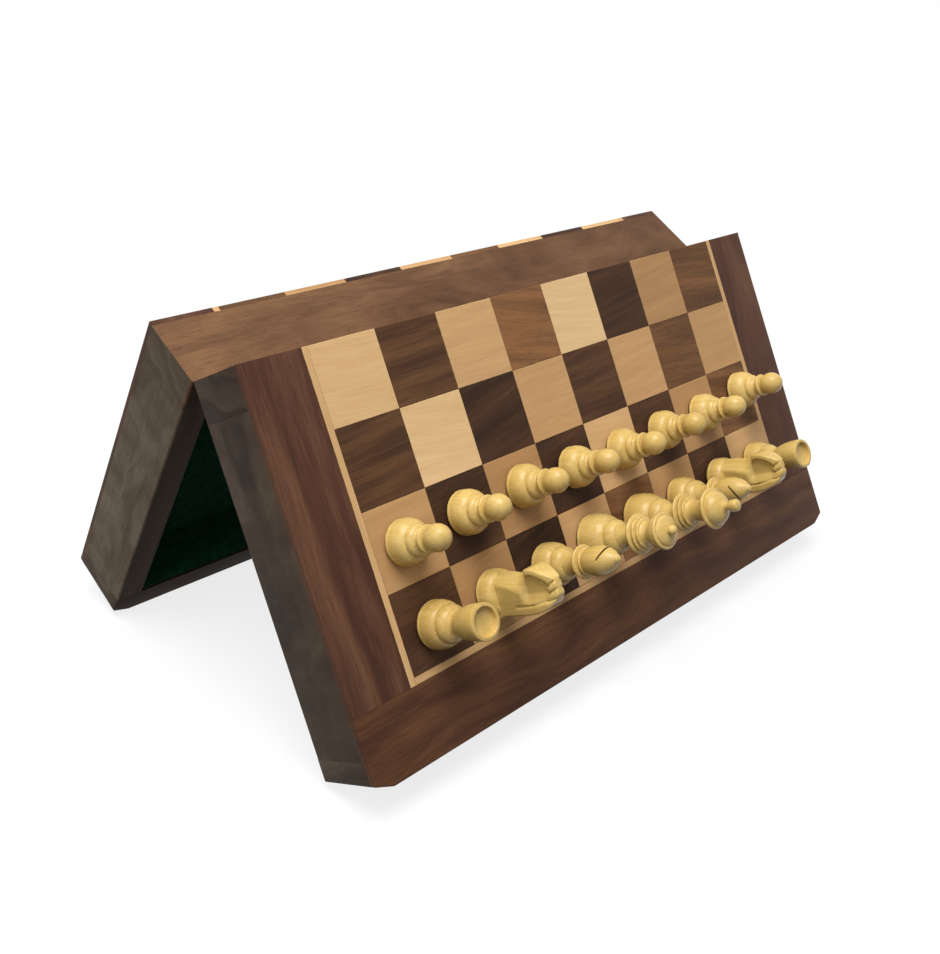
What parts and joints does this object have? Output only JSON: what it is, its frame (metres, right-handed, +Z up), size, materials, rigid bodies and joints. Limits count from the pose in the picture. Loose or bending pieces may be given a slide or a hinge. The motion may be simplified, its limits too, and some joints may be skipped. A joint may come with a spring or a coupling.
{
  "type": "chess box with hinged lid",
  "caption": "Folding wooden chess box with two felt-lined halves hinged at the fold, an inlaid chessboard on the outside and magnetic turned chessmen.",
  "frame": {"origin": "on the floor under the middle of the fold, with the box standing open like a tent", "axes": "+X along the fold from the a-file to the h-file as the pale men see it, -Y towards the half with the pale men, +Z up"},
  "size_m": [0.3076, 0.2562, 0.1504],
  "materials": {
    "rail_walnut": "oiled, satin",
    "border_walnut": "oiled, satin",
    "birch_board": "plain",
    "steel_sheet": "plain",
    "maple": "lacquered, satin",
    "walnut": "lacquered, satin",
    "green_felt": "napped",
    "magnet": "nickel plated",
    "brass": "satin",
    "boxwood": "waxed, satin",
    "rosewood": "waxed, satin"
  },
  "bodies": {
    "base_half": {"base_fold_rail": "rail_walnut", "base_front_rail": "rail_walnut", "base_end_rails": "rail_walnut", "base_backing_board": "birch_board", "base_steel_sheet": "steel_sheet", "base_maple_squares": "maple", "base_walnut_squares": "walnut", "base_maple_line": "maple", "base_border_planks": "border_walnut", "base_felt_lining": "green_felt", "base_closing_magnets": "magnet", "base_hinge_leaves": "brass", "base_hinge_screws": "brass", "hinge_pins": "brass"},
    "lid_half": {"lid_fold_rail": "rail_walnut", "lid_front_rail": "rail_walnut", "lid_end_rails": "rail_walnut", "lid_backing_board": "birch_board", "lid_steel_sheet": "steel_sheet", "lid_maple_squares": "maple", "lid_walnut_squares": "walnut", "lid_maple_line": "maple", "lid_border_planks": "border_walnut", "lid_felt_lining": "green_felt", "lid_closing_magnets": "magnet", "lid_hinge_leaves": "brass", "lid_hinge_screws": "brass"},
    "boxwood_pawn_a2": {"boxwood_pawn_a2": "boxwood"},
    "boxwood_pawn_b2": {"boxwood_pawn_b2": "boxwood"},
    "boxwood_pawn_c2": {"boxwood_pawn_c2": "boxwood"},
    "boxwood_pawn_d2": {"boxwood_pawn_d2": "boxwood"},
    "boxwood_pawn_e2": {"boxwood_pawn_e2": "boxwood"},
    "boxwood_pawn_f2": {"boxwood_pawn_f2": "boxwood"},
    "boxwood_pawn_g2": {"boxwood_pawn_g2": "boxwood"},
    "boxwood_pawn_h2": {"boxwood_pawn_h2": "boxwood"},
    "boxwood_rook_a1": {"boxwood_rook_a1": "boxwood"},
    "boxwood_knight_b1": {"boxwood_knight_b1": "boxwood"},
    "boxwood_bishop_c1": {"boxwood_bishop_c1": "boxwood"},
    "boxwood_queen_d1": {"boxwood_queen_d1": "boxwood"},
    "boxwood_king_e1": {"boxwood_king_e1": "boxwood"},
    "boxwood_bishop_f1": {"boxwood_bishop_f1": "boxwood"},
    "boxwood_knight_g1": {"boxwood_knight_g1": "boxwood"},
    "boxwood_rook_h1": {"boxwood_rook_h1": "boxwood"},
    "rosewood_pawn_a7": {"rosewood_pawn_a7": "rosewood"},
    "rosewood_pawn_b7": {"rosewood_pawn_b7": "rosewood"},
    "rosewood_pawn_c7": {"rosewood_pawn_c7": "rosewood"},
    "rosewood_pawn_d7": {"rosewood_pawn_d7": "rosewood"},
    "rosewood_pawn_e7": {"rosewood_pawn_e7": "rosewood"},
    "rosewood_pawn_f7": {"rosewood_pawn_f7": "rosewood"},
    "rosewood_pawn_g7": {"rosewood_pawn_g7": "rosewood"},
    "rosewood_pawn_h7": {"rosewood_pawn_h7": "rosewood"},
    "rosewood_rook_a8": {"rosewood_rook_a8": "rosewood"},
    "rosewood_knight_b8": {"rosewood_knight_b8": "rosewood"},
    "rosewood_bishop_c8": {"rosewood_bishop_c8": "rosewood"},
    "rosewood_queen_d8": {"rosewood_queen_d8": "rosewood"},
    "rosewood_king_e8": {"rosewood_king_e8": "rosewood"},
    "rosewood_bishop_f8": {"rosewood_bishop_f8": "rosewood"},
    "rosewood_knight_g8": {"rosewood_knight_g8": "rosewood"},
    "rosewood_rook_h8": {"rosewood_rook_h8": "rosewood"}
  },
  "joints": [
    {"name": "lid_hinge", "type": "hinge", "parent": "base_half", "child": "lid_half", "pos_m": [0, 0, 0.13541], "axis": [1, 0, 0], "range_deg": [-58, 122]},
    {"name": "boxwood_pawn_a2_lift", "type": "slide", "parent": "base_half", "child": "boxwood_pawn_a2", "axis": [0, -0.8746, 0.4848], "range_m": [0, 0.06]},
    {"name": "boxwood_pawn_b2_lift", "type": "slide", "parent": "base_half", "child": "boxwood_pawn_b2", "axis": [0, -0.8746, 0.4848], "range_m": [0, 0.06]},
    {"name": "boxwood_pawn_c2_lift", "type": "slide", "parent": "base_half", "child": "boxwood_pawn_c2", "axis": [0, -0.8746, 0.4848], "range_m": [0, 0.06]},
    {"name": "boxwood_pawn_d2_lift", "type": "slide", "parent": "base_half", "child": "boxwood_pawn_d2", "axis": [0, -0.8746, 0.4848], "range_m": [0, 0.06]},
    {"name": "boxwood_pawn_e2_lift", "type": "slide", "parent": "base_half", "child": "boxwood_pawn_e2", "axis": [0, -0.8746, 0.4848], "range_m": [0, 0.06]},
    {"name": "boxwood_pawn_f2_lift", "type": "slide", "parent": "base_half", "child": "boxwood_pawn_f2", "axis": [0, -0.8746, 0.4848], "range_m": [0, 0.06]},
    {"name": "boxwood_pawn_g2_lift", "type": "slide", "parent": "base_half", "child": "boxwood_pawn_g2", "axis": [0, -0.8746, 0.4848], "range_m": [0, 0.06]},
    {"name": "boxwood_pawn_h2_lift", "type": "slide", "parent": "base_half", "child": "boxwood_pawn_h2", "axis": [0, -0.8746, 0.4848], "range_m": [0, 0.06]},
    {"name": "boxwood_rook_a1_lift", "type": "slide", "parent": "base_half", "child": "boxwood_rook_a1", "axis": [0, -0.8746, 0.4848], "range_m": [0, 0.06]},
    {"name": "boxwood_knight_b1_lift", "type": "slide", "parent": "base_half", "child": "boxwood_knight_b1", "axis": [0, -0.8746, 0.4848], "range_m": [0, 0.06]},
    {"name": "boxwood_bishop_c1_lift", "type": "slide", "parent": "base_half", "child": "boxwood_bishop_c1", "axis": [0, -0.8746, 0.4848], "range_m": [0, 0.06]},
    {"name": "boxwood_queen_d1_lift", "type": "slide", "parent": "base_half", "child": "boxwood_queen_d1", "axis": [0, -0.8746, 0.4848], "range_m": [0, 0.06]},
    {"name": "boxwood_king_e1_lift", "type": "slide", "parent": "base_half", "child": "boxwood_king_e1", "axis": [0, -0.8746, 0.4848], "range_m": [0, 0.06]},
    {"name": "boxwood_bishop_f1_lift", "type": "slide", "parent": "base_half", "child": "boxwood_bishop_f1", "axis": [0, -0.8746, 0.4848], "range_m": [0, 0.06]},
    {"name": "boxwood_knight_g1_lift", "type": "slide", "parent": "base_half", "child": "boxwood_knight_g1", "axis": [0, -0.8746, 0.4848], "range_m": [0, 0.06]},
    {"name": "boxwood_rook_h1_lift", "type": "slide", "parent": "base_half", "child": "boxwood_rook_h1", "axis": [0, -0.8746, 0.4848], "range_m": [0, 0.06]},
    {"name": "rosewood_pawn_a7_lift", "type": "slide", "parent": "lid_half", "child": "rosewood_pawn_a7", "axis": [0, 0.8746, 0.4848], "range_m": [0, 0.06]},
    {"name": "rosewood_pawn_b7_lift", "type": "slide", "parent": "lid_half", "child": "rosewood_pawn_b7", "axis": [0, 0.8746, 0.4848], "range_m": [0, 0.06]},
    {"name": "rosewood_pawn_c7_lift", "type": "slide", "parent": "lid_half", "child": "rosewood_pawn_c7", "axis": [0, 0.8746, 0.4848], "range_m": [0, 0.06]},
    {"name": "rosewood_pawn_d7_lift", "type": "slide", "parent": "lid_half", "child": "rosewood_pawn_d7", "axis": [0, 0.8746, 0.4848], "range_m": [0, 0.06]},
    {"name": "rosewood_pawn_e7_lift", "type": "slide", "parent": "lid_half", "child": "rosewood_pawn_e7", "axis": [0, 0.8746, 0.4848], "range_m": [0, 0.06]},
    {"name": "rosewood_pawn_f7_lift", "type": "slide", "parent": "lid_half", "child": "rosewood_pawn_f7", "axis": [0, 0.8746, 0.4848], "range_m": [0, 0.06]},
    {"name": "rosewood_pawn_g7_lift", "type": "slide", "parent": "lid_half", "child": "rosewood_pawn_g7", "axis": [0, 0.8746, 0.4848], "range_m": [0, 0.06]},
    {"name": "rosewood_pawn_h7_lift", "type": "slide", "parent": "lid_half", "child": "rosewood_pawn_h7", "axis": [0, 0.8746, 0.4848], "range_m": [0, 0.06]},
    {"name": "rosewood_rook_a8_lift", "type": "slide", "parent": "lid_half", "child": "rosewood_rook_a8", "axis": [0, 0.8746, 0.4848], "range_m": [0, 0.06]},
    {"name": "rosewood_knight_b8_lift", "type": "slide", "parent": "lid_half", "child": "rosewood_knight_b8", "axis": [0, 0.8746, 0.4848], "range_m": [0, 0.06]},
    {"name": "rosewood_bishop_c8_lift", "type": "slide", "parent": "lid_half", "child": "rosewood_bishop_c8", "axis": [0, 0.8746, 0.4848], "range_m": [0, 0.06]},
    {"name": "rosewood_queen_d8_lift", "type": "slide", "parent": "lid_half", "child": "rosewood_queen_d8", "axis": [0, 0.8746, 0.4848], "range_m": [0, 0.06]},
    {"name": "rosewood_king_e8_lift", "type": "slide", "parent": "lid_half", "child": "rosewood_king_e8", "axis": [0, 0.8746, 0.4848], "range_m": [0, 0.06]},
    {"name": "rosewood_bishop_f8_lift", "type": "slide", "parent": "lid_half", "child": "rosewood_bishop_f8", "axis": [0, 0.8746, 0.4848], "range_m": [0, 0.06]},
    {"name": "rosewood_knight_g8_lift", "type": "slide", "parent": "lid_half", "child": "rosewood_knight_g8", "axis": [0, 0.8746, 0.4848], "range_m": [0, 0.06]},
    {"name": "rosewood_rook_h8_lift", "type": "slide", "parent": "lid_half", "child": "rosewood_rook_h8", "axis": [0, 0.8746, 0.4848], "range_m": [0, 0.06]}
  ]
}
